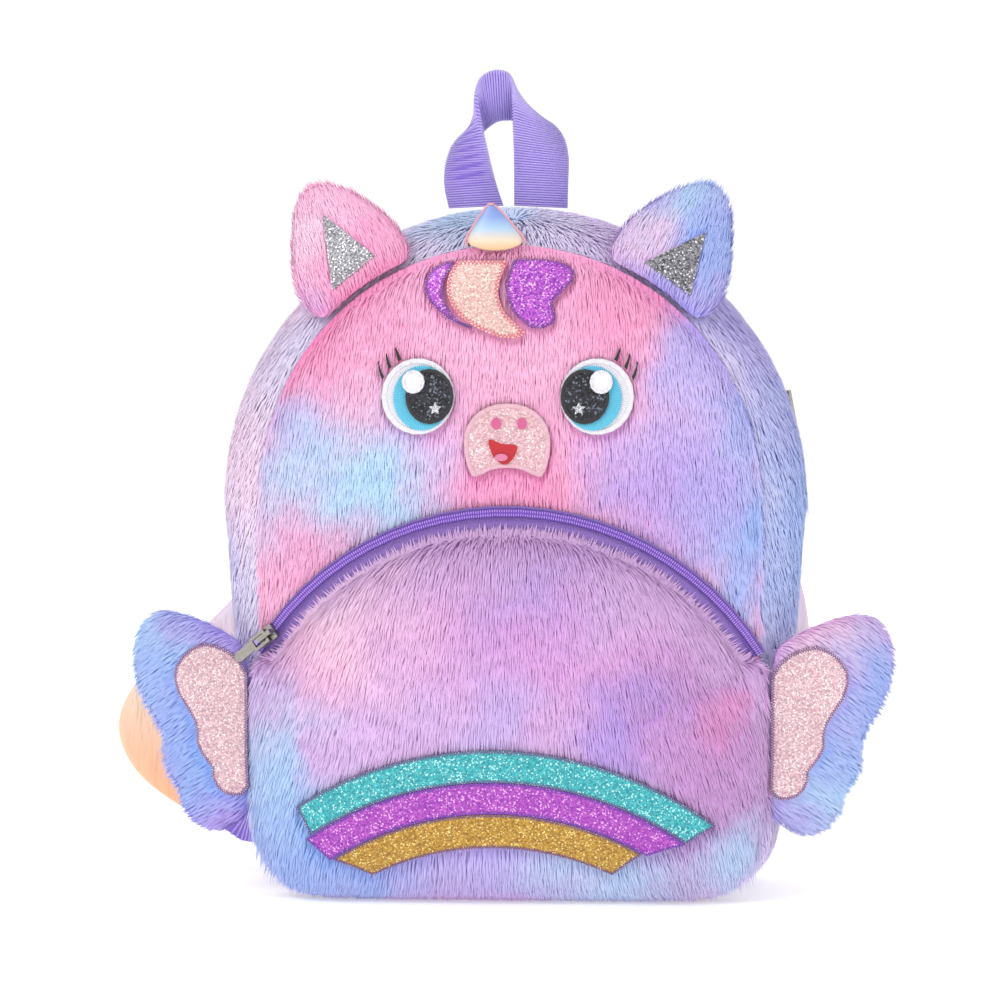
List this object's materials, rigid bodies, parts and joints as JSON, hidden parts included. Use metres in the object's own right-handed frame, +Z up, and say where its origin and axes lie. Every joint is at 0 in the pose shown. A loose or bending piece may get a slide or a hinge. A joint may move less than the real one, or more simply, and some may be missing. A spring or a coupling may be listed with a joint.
{
  "type": "kids animal backpack",
  "caption": "Plush arch shaped backpack for a child, with an animal face, zipped front pocket, ears, soft horn, side wings, top handle and padded shoulder straps.",
  "frame": {"origin": "middle of the flat base that the bag stands on", "axes": "+Z up; +X to the right as one looks at the face; -Y out of the face, +Y to the back where the shoulder straps are"},
  "size_m": [0.358, 0.1772, 0.3752],
  "materials": {
    "plush_side": "long pile plush, lilac",
    "plush_face": "long pile plush, tie-dyed pink",
    "plush_back": "short pile plush",
    "plush_pocket": "long pile plush, tie-dyed",
    "plush_ear_left": "long pile plush",
    "plush_ear_right": "long pile plush",
    "plush_wing": "long pile plush",
    "zip_tape": "woven polyester tape",
    "zip_coil": "nylon coil",
    "nickel": "antique nickel plate",
    "eye_white": "satin stitch",
    "eye_cyan": "satin stitch",
    "eye_black": "sequin film",
    "star_silver": "silver foil",
    "lash_black": "satin stitch",
    "nostril_pink": "satin stitch",
    "muzzle_glitter": "glitter film",
    "mouth_red": "satin stitch",
    "tongue_pink": "satin stitch",
    "lock_purple": "glitter film",
    "lock_cream": "glitter film",
    "rainbow_teal": "glitter film",
    "rainbow_magenta": "glitter film",
    "rainbow_gold": "glitter film",
    "ear_silver": "glitter film",
    "wing_glitter": "glitter film",
    "horn_satin": "printed satin",
    "webbing": "ribbed polyester webbing",
    "strap_satin": "printed satin over foam",
    "adjuster_plastic": "moulded"
  },
  "bodies": {
    "bag": {"gusset": "plush_side", "front_panel": "plush_face", "back_panel": "plush_back", "pocket_panel": "plush_pocket", "ear_left": "plush_ear_left", "ear_right": "plush_ear_right", "wing_left": "plush_wing", "wing_right": "plush_wing", "main_zip": "zip_tape", "pocket_zip_tape": "zip_tape", "pocket_zip_coil": "zip_coil", "main_zip_slider": "nickel", "pocket_zip_slider": "nickel", "eye_white_left": "eye_white", "eye_white_right": "eye_white", "eye_highlight_left": "eye_white", "eye_highlight_right": "eye_white", "eye_iris_left": "eye_cyan", "eye_iris_right": "eye_cyan", "eye_pupil_left": "eye_black", "eye_pupil_right": "eye_black", "eye_star_left": "star_silver", "eye_star_right": "star_silver", "eye_lash_left_1": "lash_black", "eye_lash_left_2": "lash_black", "eye_lash_left_3": "lash_black", "eye_lash_right_1": "lash_black", "eye_lash_right_2": "lash_black", "eye_lash_right_3": "lash_black", "nostril_left": "nostril_pink", "nostril_right": "nostril_pink", "muzzle": "muzzle_glitter", "mouth": "mouth_red", "tongue": "tongue_pink", "forelock_left": "lock_purple", "forelock_right": "lock_purple", "forelock_middle": "lock_cream", "rainbow_outer": "rainbow_teal", "rainbow_middle": "rainbow_magenta", "rainbow_inner": "rainbow_gold", "ear_inner_left": "ear_silver", "ear_inner_right": "ear_silver", "wing_inner_left": "wing_glitter", "wing_inner_right": "wing_glitter", "horn": "horn_satin", "handle": "webbing", "strap_webbing_left": "webbing", "strap_webbing_right": "webbing", "shoulder_strap_left": "strap_satin", "shoulder_strap_right": "strap_satin", "strap_adjuster_left": "adjuster_plastic", "strap_adjuster_right": "adjuster_plastic"},
    "pull": {"pocket_zip_pull": "nickel"}
  },
  "joints": [
    {"name": "pull_swing", "type": "hinge", "parent": "bag", "child": "pull", "pos_m": [-0.10874, -0.0574, 0.11955], "axis": [-0.5614, 0.2224, 0.7971], "range_deg": [0, 160]}
  ]
}
